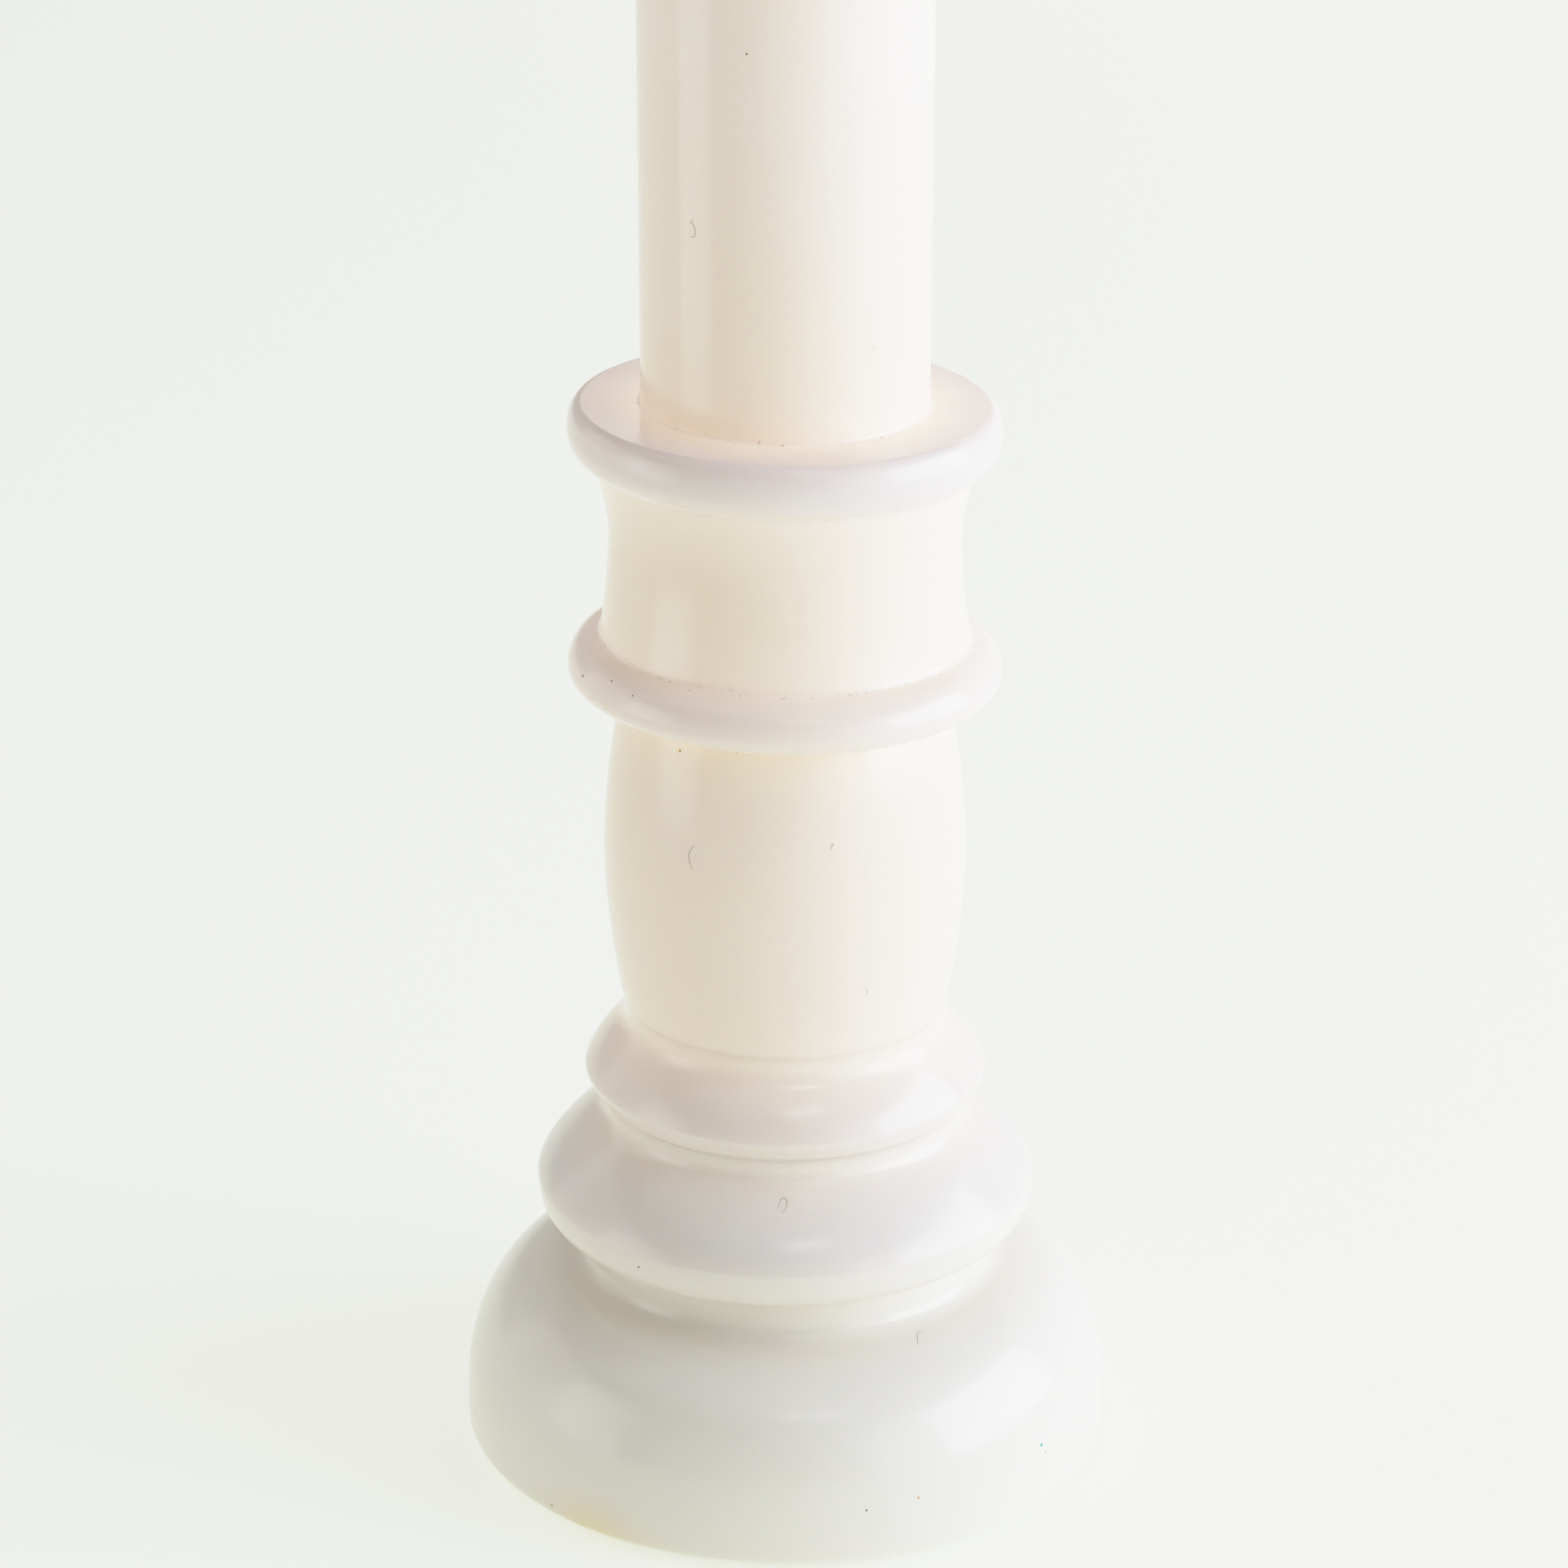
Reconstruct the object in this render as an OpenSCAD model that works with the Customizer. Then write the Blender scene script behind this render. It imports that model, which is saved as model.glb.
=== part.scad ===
// Turned candlestick: a stack of turned wood pieces drawn together by one steel tie rod.
// Origin at the middle of the face it stands on, +Z up, millimetres.
// Every turned piece is centred on its neighbour by a round spigot in a round socket.

/* [Foot] */
// Diameter of the domed foot
foot_d = 95; // [80:1:120]
// Height of the foot's dome, up to its neck ring
foot_h = 26.4; // [24:0.1:34]
// Height of the upright wall round the foot's edge
foot_wall_h = 3.6; // [2:0.1:6]
// How square the foot's shoulder is: 2 is an ellipse
foot_shoulder_n = 2.2; // [2:0.05:3]
// Diameter of the neck ring on top of the dome
neck_d = 58.4; // [48:0.1:64]
// Height of the neck ring
neck_h = 7; // [4:0.1:10]
// How far the neck ring swells outwards
neck_swell = 0.6; // [0.2:0.1:1.5]

/* [Large torus] */
// Diameter of the large torus
large_torus_d = 72.8; // [64:0.1:84]
// Height of the large torus
large_torus_h = 18.1; // [14:0.1:24]
// Height of its widest line above its underside
large_torus_nose = 6.3; // [4:0.1:9]

/* [Small torus] */
// Diameter of the small torus
small_torus_d = 58.4; // [52:0.1:70]
// Height of the small torus
small_torus_h = 12.9; // [11:0.1:18]
// Height of its widest line above its underside
small_torus_nose = 5.3; // [3:0.1:7]
// Diameter of the crease between the two tori
torus_crease_d = 47.6; // [40:0.1:51]

/* [Baluster] */
// Diameter of the baluster at its widest
baluster_d = 52; // [47:0.1:64]
// Diameter of the baluster at its foot
baluster_foot_d = 45.6; // [38:0.1:47]
// Diameter of the baluster at its top
baluster_top_d = 46.4; // [38:0.1:47]
// Height of the baluster
baluster_h = 50.2; // [40:0.1:70]
// Height of its widest line above its foot
baluster_belly = 26; // [18:0.1:32]

/* [Lower bead] */
// Diameter of the bead on top of the baluster
lower_bead_d = 61.4; // [56:0.1:72]
// Height of the lower bead
lower_bead_h = 8.2; // [6:0.1:12]
// Height of its widest line above its underside
lower_bead_nose = 3.6; // [2:0.1:5]

/* [Spool] */
// Diameter of the spool at its foot
spool_foot_d = 52.4; // [48:0.1:55]
// Diameter of the spool at its waist
spool_waist_d = 49.6; // [38:0.1:50]
// Diameter of the spool at its top
spool_top_d = 54.4; // [50:0.1:56]
// Height of the spool
spool_h = 26.3; // [20:0.1:40]
// Height of its waist above its foot
spool_waist = 15.6; // [8:0.1:18]

/* [Collar] */
// Diameter of the collar round the column's foot
collar_d = 60.6; // [58:0.1:72]
// Height of the collar
collar_h = 7.7; // [6:0.1:12]
// Height of its widest line above its underside
collar_nose = 4; // [3:0.1:5]
// Diameter of the collar's flat top face
collar_top_d = 56.6; // [46:0.1:57.5]

/* [Column] */
// Diameter of the column
column_d = 40.2; // [34:0.1:44]
// Length of the column that shows, above the collar
column_h = 105; // [60:1:180]

/* [Cup] */
// Diameter of the bead under the cup
upper_bead_d = 52; // [48:0.1:62]
// Height of the upper bead
upper_bead_h = 6.8; // [5:0.1:10]
// Diameter of the cup at its foot
cup_foot_d = 38; // [34:0.1:42]
// Diameter of the cup at its widest
cup_d = 50; // [44:0.1:56]
// Diameter of the cup at its top
cup_top_d = 46; // [40:0.1:48]
// Height of the cup's widest line above its foot
cup_belly = 23; // [16:0.1:26]
// Wood left between the tie rod's seat and the cup's underside
cup_floor = 8; // [6:0.1:14]
// Diameter of the drip rim
drip_rim_d = 66; // [58:0.1:80]
// Height of the drip rim
drip_rim_h = 7; // [6:0.1:10]
// Height of its widest line above its underside
drip_rim_nose = 4; // [3:0.1:5]
// Depth of the dish in the drip rim
dish_depth = 2.4; // [1.5:0.1:3]

/* [Candle socket] */
// Bore of the brass socket
socket_bore_d = 22.5; // [18.8:0.1:25]
// Depth of the socket's bore
socket_depth = 24; // [18:0.1:32]
// Thickness of the socket's wall
socket_wall = 0.9; // [0.6:0.05:1.5]
// Diameter of the socket's flange
socket_flange_d = 33; // [30:0.1:38]
// Thickness of the flange and of the socket's floor
socket_flange_t = 1.2; // [0.8:0.1:2]

/* [Joinery] */
// Diameter of the spigots
spigot_d = 24; // [16:0.1:26]
// Length of spigot that stands in the piece below
spigot_h = 8; // [5:0.1:9]
// Gap round a spigot in its socket
spigot_gap = 0.1; // [0.05:0.01:0.3]
// Glue room under a spigot's end
spigot_end_gap = 0.5; // [0.2:0.1:1]
// Gap between the brass socket and the wood
liner_gap = 0.1; // [0.05:0.01:0.3]

/* [Tie rod] */
// Diameter of the threaded rod
rod_d = 8; // [5:0.5:8]
// Gap round the rod in the wood
rod_gap = 0.5; // [0.3:0.1:1]
// Gap between the rod and its nuts and washers
thread_gap = 0.05; // [0.02:0.01:0.1]
// Width across the flats of the nuts
nut_af = 13; // [10:0.5:13]
// Height of the nuts
nut_h = 6.5; // [4:0.1:7]
// Diameter of the plain washer under the foot
washer_d = 24; // [18:0.5:24]
// Gap round the cup's washer, which is let down through the brass socket's hole
cup_washer_gap = 0.25; // [0.1:0.05:1]
// Thickness of every washer
washer_t = 2; // [1:0.1:2.5]
// Diameter of the spring washer
lock_washer_d = 14.8; // [11:0.1:15]
// Gap in the spring washer's ring
lock_washer_slit = 1.5; // [1:0.1:2]
// Length of rod that stands out of each nut
rod_end = 2; // [1:0.1:3]
// Gap round the foot washer in its counterbore
counterbore_gap = 1; // [0.5:0.1:2]

/* [Felt] */
// How far the felt pad's edge lies inside the foot's edge
felt_inset = 3.5; // [2:0.5:12]
// Thickness of the felt pad
felt_t = 1.5; // [1:0.1:3]

/* [Hidden] */
$fn = 96;

// Points along each quarter of a rounded outline
steps = 16;
// How square each half of a rounded ring is: 2 is an ellipse, less than 2 leans to a straight slope
torus_slope_n = 1.25;
large_torus_under_n = 3;
small_torus_under_n = 1.5;
bead_n = 2.1;
// How fast the baluster and the spool bend towards their two ends: 2 is a parabola
swell_p = 1.8;
// Room over the rod's end, under the brass socket
rod_head_room = 0.5;

// Heights of the joints in the stack
z_foot = felt_t;
z_neck = z_foot + foot_h;
z_large_torus = z_neck + neck_h;
z_small_torus = z_large_torus + large_torus_h;
z_baluster = z_small_torus + small_torus_h;
z_lower_bead = z_baluster + baluster_h;
z_spool = z_lower_bead + lower_bead_h;
z_collar = z_spool + spool_h;
z_column = z_collar + collar_h;
z_upper_bead = z_column + column_h;
z_cup = z_upper_bead + upper_bead_h;

// The cup is as high as the rod's seat, its nut and the brass socket make it
z_cup_seat = z_cup + cup_floor;
z_rod_top = z_cup_seat + washer_t + nut_h + rod_end;
z_socket = z_rod_top + rod_head_room;
z_flange_top = z_socket + socket_flange_t + socket_depth;
z_flange = z_flange_top - socket_flange_t;
z_drip_rim = z_flange - drip_rim_h + dish_depth;
cup_h = z_drip_rim - z_cup;

// The counterbore under the foot takes the lower washers, nut and rod end
counterbore_h = rod_end + nut_h + washer_t + washer_t + rod_head_room;
z_foot_seat = z_foot + counterbore_h;
z_lock_washer = z_foot_seat - 2 * washer_t;
z_foot_nut = z_lock_washer - nut_h;
z_rod = z_foot_nut - rod_end;

spigot_r = spigot_d / 2;
rod_r = rod_d / 2;
socket_r = socket_bore_d / 2 + socket_wall;
socket_hole_r = socket_r + liner_gap;
cup_washer_d = 2 * (socket_hole_r - cup_washer_gap);
cut = 1;

// A quarter of a superellipse, from its widest point out to the end of its outline
function quarter(r_end, z_end, r_wide, z_wide, n) = [
    for (i = [0 : steps])
        let (a = 90 * i / steps)
        [r_end + (r_wide - r_end) * pow(cos(a), 2 / n), z_wide + (z_end - z_wide) * pow(sin(a), 2 / n)]
];

// A list in the opposite order
function backwards(list) = [for (i = [len(list) - 1 : -1 : 0]) list[i]];

// A side that bends from one radius to its extreme and on to another: the power law sets how fast
function bent_side(r_foot, r_mid, r_top, z_foot, z_mid, z_top) = concat(
    [for (i = [0 : steps]) let (t = i / steps)
        [r_mid + (r_foot - r_mid) * pow(1 - t, swell_p), z_foot + (z_mid - z_foot) * t]],
    [for (i = [1 : steps]) let (t = i / steps)
        [r_mid + (r_top - r_mid) * pow(t, swell_p), z_mid + (z_top - z_mid) * t]]
);

// A low swelling from one height to another, at the same radius at both ends
function swelling(r, sag, z_low, z_high) = [
    for (i = [1 : steps]) let (t = i / steps) [r + sag * sin(180 * t), z_low + (z_high - z_low) * t]
];

// A solid turned from an outline that runs up the outside
module turned(outline, z_low, z_high) {
    rotate_extrude() polygon(concat([[0, z_low]], outline, [[0, z_high]]));
}

// The spigot under a piece, reaching down through a ring of the given height
module spigot(z_shoulder, ring_h = 0) {
    reach = ring_h + spigot_h;
    translate([0, 0, z_shoulder - reach]) cylinder(r = spigot_r, h = reach);
}

// The socket in a piece's top that a spigot stands in
module spigot_socket(z_top) {
    depth = spigot_h + spigot_end_gap;
    translate([0, 0, z_top - depth]) cylinder(r = spigot_r + spigot_gap, h = depth + cut);
}

// The hole that lets the tie rod through
module rod_hole() {
    translate([0, 0, -cut]) cylinder(r = rod_r + rod_gap, h = z_flange_top + 2 * cut);
}

// A ring that slips over a spigot, or over the brass socket
module slip_ring(outline, z_low, z_high, hole_r = spigot_r + spigot_gap) {
    difference() {
        turned(outline, z_low, z_high);
        translate([0, 0, z_low - cut]) cylinder(r = hole_r, h = z_high - z_low + 2 * cut);
    }
}

// A rounded ring's outline
function ring_outline(r_low, r_wide, r_high, z_low, z_wide, z_high, n_low, n_high) = concat(
    backwards(quarter(r_low, z_low, r_wide, z_wide, n_low)), quarter(r_high, z_high, r_wide, z_wide, n_high)
);

module felt_pad() {
    color("darkolivegreen") cylinder(r = foot_d / 2 - felt_inset, h = felt_t);
}

module foot() {
    outline = concat(
        [[foot_d / 2, z_foot]],
        quarter(neck_d / 2, z_neck, foot_d / 2, z_foot + foot_wall_h, foot_shoulder_n),
        swelling(neck_d / 2, neck_swell, z_neck, z_large_torus)
    );
    color("ivory") difference() {
        turned(outline, z_foot, z_large_torus);
        spigot_socket(z_large_torus);
        rod_hole();
        translate([0, 0, z_foot - cut]) cylinder(r = washer_d / 2 + counterbore_gap, h = counterbore_h + cut);
    }
}

module large_torus() {
    outline = ring_outline(neck_d / 2, large_torus_d / 2, torus_crease_d / 2, z_large_torus,
        z_large_torus + large_torus_nose, z_small_torus, large_torus_under_n, torus_slope_n);
    color("ivory") difference() {
        union() {
            turned(outline, z_large_torus, z_small_torus);
            spigot(z_large_torus);
        }
        spigot_socket(z_small_torus);
        rod_hole();
    }
}

module small_torus() {
    outline = ring_outline(torus_crease_d / 2, small_torus_d / 2, baluster_foot_d / 2, z_small_torus,
        z_small_torus + small_torus_nose, z_baluster, small_torus_under_n, torus_slope_n);
    color("ivory") difference() {
        union() {
            turned(outline, z_small_torus, z_baluster);
            spigot(z_small_torus);
        }
        spigot_socket(z_baluster);
        rod_hole();
    }
}

module baluster() {
    outline = bent_side(baluster_foot_d / 2, baluster_d / 2, baluster_top_d / 2, z_baluster,
        z_baluster + baluster_belly, z_lower_bead);
    color("ivory") difference() {
        union() {
            turned(outline, z_baluster, z_lower_bead);
            spigot(z_baluster);
        }
        spigot_socket(z_lower_bead);
        rod_hole();
    }
}

module lower_bead() {
    outline = ring_outline(baluster_top_d / 2, lower_bead_d / 2, spool_foot_d / 2, z_lower_bead,
        z_lower_bead + lower_bead_nose, z_spool, bead_n, bead_n);
    color("lavender") slip_ring(outline, z_lower_bead, z_spool);
}

module spool() {
    outline = bent_side(spool_foot_d / 2, spool_waist_d / 2, spool_top_d / 2, z_spool,
        z_spool + spool_waist, z_collar);
    color("ivory") difference() {
        union() {
            turned(outline, z_spool, z_collar);
            spigot(z_spool, lower_bead_h);
        }
        spigot_socket(z_collar);
        rod_hole();
    }
}

module collar() {
    outline = ring_outline(spool_top_d / 2, collar_d / 2, collar_top_d / 2, z_collar,
        z_collar + collar_nose, z_column, bead_n, bead_n);
    color("lavender") slip_ring(outline, z_collar, z_column);
}

module column() {
    color("ivory") difference() {
        union() {
            translate([0, 0, z_column]) cylinder(r = column_d / 2, h = column_h);
            spigot(z_column, collar_h);
        }
        spigot_socket(z_upper_bead);
        rod_hole();
    }
}

module upper_bead() {
    outline = ring_outline(column_d / 2, upper_bead_d / 2, cup_foot_d / 2, z_upper_bead,
        z_upper_bead + upper_bead_h / 2, z_cup, bead_n, bead_n);
    color("lavender") slip_ring(outline, z_upper_bead, z_cup);
}

module candle_cup() {
    outline = bent_side(cup_foot_d / 2, cup_d / 2, cup_top_d / 2, z_cup, z_cup + cup_belly, z_drip_rim);
    color("ivory") difference() {
        union() {
            turned(outline, z_cup, z_drip_rim);
            spigot(z_cup, upper_bead_h);
        }
        rod_hole();
        translate([0, 0, z_cup_seat]) cylinder(r = socket_hole_r, h = cup_h);
    }
}

module drip_rim() {
    rim_top = z_drip_rim + drip_rim_h;
    lip_r = drip_rim_d / 2 - dish_depth;
    seat_r = socket_flange_d / 2 + liner_gap;
    dish = [for (i = [1 : steps]) let (t = i / steps)
        [lip_r + (seat_r - lip_r) * t, z_flange + dish_depth * pow(1 - t, 2)]];
    outline = concat(ring_outline(cup_top_d / 2, drip_rim_d / 2, lip_r, z_drip_rim, z_drip_rim + drip_rim_nose,
        rim_top, bead_n, bead_n), dish);
    color("lavender") slip_ring(outline, z_drip_rim, z_flange, socket_hole_r);
}

module candle_socket() {
    color("goldenrod") difference() {
        union() {
            translate([0, 0, z_socket]) cylinder(r = socket_r, h = z_flange_top - z_socket);
            translate([0, 0, z_flange]) cylinder(r = socket_flange_d / 2, h = socket_flange_t);
        }
        translate([0, 0, z_socket + socket_flange_t]) cylinder(r = socket_bore_d / 2, h = socket_depth + cut);
    }
}

module tie_rod() {
    color("silver") translate([0, 0, z_rod]) cylinder(r = rod_r, h = z_rod_top - z_rod);
}

module washer(z_low, d) {
    translate([0, 0, z_low]) difference() {
        cylinder(r = d / 2, h = washer_t);
        translate([0, 0, -cut]) cylinder(r = rod_r + thread_gap, h = washer_t + 2 * cut);
    }
}

module nut(z_low) {
    translate([0, 0, z_low]) difference() {
        cylinder(d = nut_af / cos(30), h = nut_h, $fn = 6);
        translate([0, 0, -cut]) cylinder(r = rod_r + thread_gap, h = nut_h + 2 * cut);
    }
}

module foot_washer() {
    color("silver") washer(z_foot_seat - washer_t, washer_d);
}

module foot_lock_washer() {
    color("dimgray") difference() {
        washer(z_lock_washer, lock_washer_d);
        translate([0, -lock_washer_slit / 2, z_lock_washer - cut])
            cube([lock_washer_d, lock_washer_slit, washer_t + 2 * cut]);
    }
}

module foot_nut() {
    color("silver") nut(z_foot_nut);
}

module cup_washer() {
    color("silver") washer(z_cup_seat, cup_washer_d);
}

module cup_nut() {
    color("silver") nut(z_cup_seat + washer_t);
}

felt_pad();
foot();
large_torus();
small_torus();
baluster();
lower_bead();
spool();
collar();
column();
upper_bead();
candle_cup();
drip_rim();
candle_socket();
tie_rod();
foot_washer();
foot_lock_washer();
foot_nut();
cup_washer();
cup_nut();
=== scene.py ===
import math

import bpy
import numpy as np
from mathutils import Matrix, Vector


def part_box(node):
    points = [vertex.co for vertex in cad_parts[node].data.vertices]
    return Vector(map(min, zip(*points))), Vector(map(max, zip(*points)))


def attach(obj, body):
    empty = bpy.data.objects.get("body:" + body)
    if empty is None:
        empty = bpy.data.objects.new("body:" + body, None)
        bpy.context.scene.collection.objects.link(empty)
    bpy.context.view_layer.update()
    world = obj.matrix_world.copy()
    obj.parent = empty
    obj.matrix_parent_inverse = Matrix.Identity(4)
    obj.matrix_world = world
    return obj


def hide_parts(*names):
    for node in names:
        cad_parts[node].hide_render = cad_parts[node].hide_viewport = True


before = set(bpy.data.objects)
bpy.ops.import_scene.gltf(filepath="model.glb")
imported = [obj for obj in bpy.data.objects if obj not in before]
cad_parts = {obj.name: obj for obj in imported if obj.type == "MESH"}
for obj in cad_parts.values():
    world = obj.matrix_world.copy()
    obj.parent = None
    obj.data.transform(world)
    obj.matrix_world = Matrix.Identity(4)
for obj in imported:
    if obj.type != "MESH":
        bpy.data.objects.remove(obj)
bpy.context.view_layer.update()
mm = 0.001  # outlines are in millimetres, meshes in metres
sharpEdge = 32  # degrees between two faces past which the edge between them isn't shaded smooth


def heights(node):
    # lowest and highest point of a CAD piece, in millimetres
    low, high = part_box(node)
    return low.z / mm, high.z / mm


def widest(node):
    # radius of a CAD piece at its widest, in millimetres
    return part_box(node)[1].x / mm


def quarter(endR, endZ, wideR, wideZ, square, count=28):
    # superellipse quarter: cosine and sine of an angle, each to the power 2 / square
    a = np.linspace(0, math.pi / 2, count)
    r = endR + (wideR - endR) * np.cos(a) ** (2 / square)
    z = wideZ + (endZ - wideZ) * np.sin(a) ** (2 / square)
    return np.column_stack([r, z])


def ring(lowR, wideR, highR, lowZ, wideZ, highZ, lowSquare, highSquare):
    # a rounded ring: the lower quarter up to the widest point, then the upper quarter on to its end
    lower = quarter(lowR, lowZ, wideR, wideZ, lowSquare)[::-1]
    upper = quarter(highR, highZ, wideR, wideZ, highSquare)
    return np.vstack([lower, upper[1:]])


def bentSide(footR, midR, topR, lowZ, midZ, highZ, power=1.8, count=40):
    # the radius leaves its extreme as a power of the share of the way to each end
    t = np.linspace(0, 1, count)
    lower = np.column_stack([midR + (footR - midR) * (1 - t) ** power, lowZ + (midZ - lowZ) * t])
    upper = np.column_stack([midR + (topR - midR) * t ** power, midZ + (highZ - midZ) * t])
    return np.vstack([lower, upper[1:]])


def rounded(corner, towardA, towardB, size, count=8):
    # a corner taken off by the curve (1-t)^2 A + 2t(1-t) corner + t^2 B, A and B a given size along each side
    corner, towardA, towardB = (np.array(p, float) for p in (corner, towardA, towardB))
    a = corner + (towardA - corner) * size / np.hypot(*(towardA - corner))
    b = corner + (towardB - corner) * size / np.hypot(*(towardB - corner))
    t = np.linspace(0, 1, count)[:, None]
    return (1 - t) ** 2 * a + 2 * t * (1 - t) * corner + t ** 2 * b


def along(outline):
    # distance walked along an outline, at each of its points
    return np.append(0, np.cumsum(np.hypot(*np.diff(outline, axis=0).T)))


def pooledJoint(lower, upper, size, count=10):
    # finish pooled where two pieces meet, then back to the corner: the curve (1-t)^3 S + 3t(1-t)^2 A +
    # 3t^2(1-t) B + t^3 E, where A lies on from S, and B back from E, by half the distance from S to E
    walked = along(lower)
    below = lower[walked < walked[-1] - size]
    against = upper[along(upper) <= size]
    start, end = below[-1], against[-1]
    leaving, joining = below[-1] - below[-2], upper[len(against)] - end
    reach = np.hypot(*(end - start)) / 2
    a = start + reach * leaving / np.hypot(*leaving)
    b = end - reach * joining / np.hypot(*joining)
    t = np.linspace(0, 1, count)[:, None]
    curve = (1 - t) ** 3 * start + 3 * t * (1 - t) ** 2 * a + 3 * t ** 2 * (1 - t) * b + t ** 3 * end
    back = against[::-1][1:] + [0.01, -0.01]
    return np.vstack([below, curve[1:], back])


# how far the turning and the stacking are from perfect: millimetres, and degrees of lean; the waves grow
# over fullOver outwards from fromRadius, over fullHeight from the bottom, and shift by a radian with each twist
handwork = {"oval": 0.07, "ovalTwist": 70.0, "threeLobed": 0.04, "lobeTwist": 45.0, "fromRadius": 14.0,
            "fullOver": 4.0, "fullHeight": 20.0, "lean": 1.1, "leanFade": 22.0}
leanFrom = heights("lower_bead")[0]
leanTo = heights("collar")[1]


def handTurned(r, z, theta):
    # radius plus low cosine waves round the axis; height minus x times the tangent of the lean, which is
    # whole from the lower bead to the collar and fades out below and above them
    h = handwork
    outer = np.clip((r - h["fromRadius"]) / h["fullOver"], 0, 1)
    wave = h["oval"] * np.cos(2 * theta + 0.9 + z / h["ovalTwist"])
    wave = wave + h["threeLobed"] * np.cos(3 * theta - 0.7 - z / h["lobeTwist"])
    r = r + outer * wave * np.clip(z / h["fullHeight"], 0, 1)
    x = r * np.cos(theta)
    y = r * np.sin(theta)
    fade = np.clip((z - leanFrom + h["leanFade"]) / h["leanFade"], 0, 1)
    fade = fade * np.clip((leanTo + h["leanFade"] - z) / h["leanFade"], 0, 1)
    z = z - x * math.tan(math.radians(h["lean"])) * fade * fade * (3 - 2 * fade)
    return x, y, z


def meshFrom(name, points, faces, material, slot, *nodes):
    # points in millimetres and faces become one piece of the root body, in place of the CAD nodes named
    mesh = bpy.data.meshes.new(name)
    mesh.from_pydata((points * mm).tolist(), [], faces)
    mesh.polygons.foreach_set("use_smooth", np.ones(len(mesh.polygons), bool))
    mesh.set_sharp_from_angle(angle=math.radians(sharpEdge))
    mesh.materials.append(material)
    mesh.update()
    piece = bpy.data.objects.new(name, mesh)
    bpy.context.scene.collection.objects.link(piece)
    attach(piece, "root")
    if nodes:
        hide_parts(*nodes)
    return piece


def gridFaces(rows, columns, closeRows=True, closeColumns=True, first=0):
    # each cell of the grid becomes a four-sided face
    i = np.arange(rows if closeRows else rows - 1)[:, None]
    j = np.arange(columns if closeColumns else columns - 1)[None, :]
    nextI, nextJ = (i + 1) % rows, (j + 1) % columns
    corners = [i * columns + j, i * columns + nextJ, nextI * columns + nextJ, nextI * columns + j]
    return (np.stack(np.broadcast_arrays(*corners), -1).reshape(-1, 4) + first).tolist()


def spun(r, z, stations):
    # radius and height, by row or by row and station, carried round the axis: x = r cos, y = r sin
    theta = np.linspace(0, 2 * math.pi, stations, endpoint=False)[None, :]
    x, y = r * np.cos(theta), r * np.sin(theta)
    return np.stack([x, y, np.broadcast_to(z, x.shape)], -1)


def spunRing(name, r, z, material, slot, *nodes, stations=96):
    # a closed section round an open middle
    points = spun(r, z, stations)
    return meshFrom(name, points.reshape(-1, 3), gridFaces(len(points), stations), material, slot, *nodes)


def spunSolid(name, r, z, material, slot, *nodes, stations=96):
    # an outline whose two ends are closed by a fan round a point on the axis
    points = spun(r, z, stations)
    rows = len(points)
    poles = np.array([[0, 0, points[0, 0, 2]], [0, 0, points[-1, 0, 2]]])
    j = np.arange(stations)
    nextJ = (j + 1) % stations
    last = (rows - 1) * stations
    bottom = np.column_stack([nextJ, j, np.full(stations, rows * stations)]).tolist()
    top = np.column_stack([last + j, last + nextJ, np.full(stations, rows * stations + 1)]).tolist()
    faces = gridFaces(rows, stations, closeRows=False) + bottom + top
    return meshFrom(name, np.vstack([points.reshape(-1, 3), poles]), faces, material, slot, *nodes)


def hexToLinear(code):
    # sRGB hex to the linear values that Blender works in
    raw = np.array([int(code[i:i + 2], 16) for i in (1, 3, 5)]) / 255
    linear = np.where(raw <= 0.04045, raw / 12.92, ((raw + 0.055) / 1.055) ** 2.4)
    return (*linear.tolist(), 1.0)


def add(tree, kind, links=None, **settings):
    # one node with its settings; links gives its inputs, each a socket to join or a value to hold
    node = tree.nodes.new(kind)
    for key, value in settings.items():
        setattr(node, key, value)
    for key, value in (links or {}).items():
        if isinstance(value, bpy.types.NodeSocket):
            tree.links.new(value, node.inputs[key])
        else:
            node.inputs[key].default_value = value
    return node


def newMaterial(name, **fixed):
    # an empty material with one Principled shader, its fixed values set on the shader's own sockets
    material = bpy.data.materials.new(name)
    material.use_nodes = True
    tree = material.node_tree
    tree.nodes.clear()
    shader = add(tree, "ShaderNodeBsdfPrincipled")
    for key, value in fixed.items():
        shader.inputs[key.replace("_", " ")].default_value = value
    add(tree, "ShaderNodeOutputMaterial", {"Surface": shader.outputs[0]})
    return material, tree, shader


# colours; sizes of patterns in millimetres, heights and depths of relief in metres, the rest are shares;
# a pair of edges is where a change starts and where it is complete
finish = {
    # of these colours, the third to sixth and the eighth are painted light and shade: a cool tone on edges, a
    # greyer foot, darker low creases, a bright warm glow where pieces meet, and a warm reflection low on the
    # foot
    "body": "#F3E4DC", "yellowed": "#F4E1CE", "paintedCoolEdge": "#D7CFD3", "paintedShadeLow": "#E6E1D8", "paintedCreaseShade": "#E1DACB",
    "paintedGlow": "#FFEAD6", "dust": "#7A5A38", "paintedWarmReflection": "#EBD3A4",
    "sunk": 0.4, "sunkEdges": (0.2, 0.7), "glow": 0.16,
    "aged": 0.65, "patchSize": 34.0, "patchEdges": (0.38, 0.66), "patchShare": 0.35,
    "dustGrain": 0.8, "grainEdges": (0.66, 0.74), "cornerEdges": (0.78, 0.95), "dustShare": 0.45,
    "roughness": 0.16, "smoother": 0.03, "rougher": 0.05, "roughOutside": 0.04,
    "wipeSize": 11.0, "wipeEdges": (0.3, 0.7),
    "turningMark": 2.6, "turningDepth": 0.00004, "orangePeel": 1.7, "peelDepth": 0.00006,
    "footTop": 0.026, "waist": 0.068, "dustFrom": 0.1, "capital": 0.14, "clean": 0.21,
}


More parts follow.
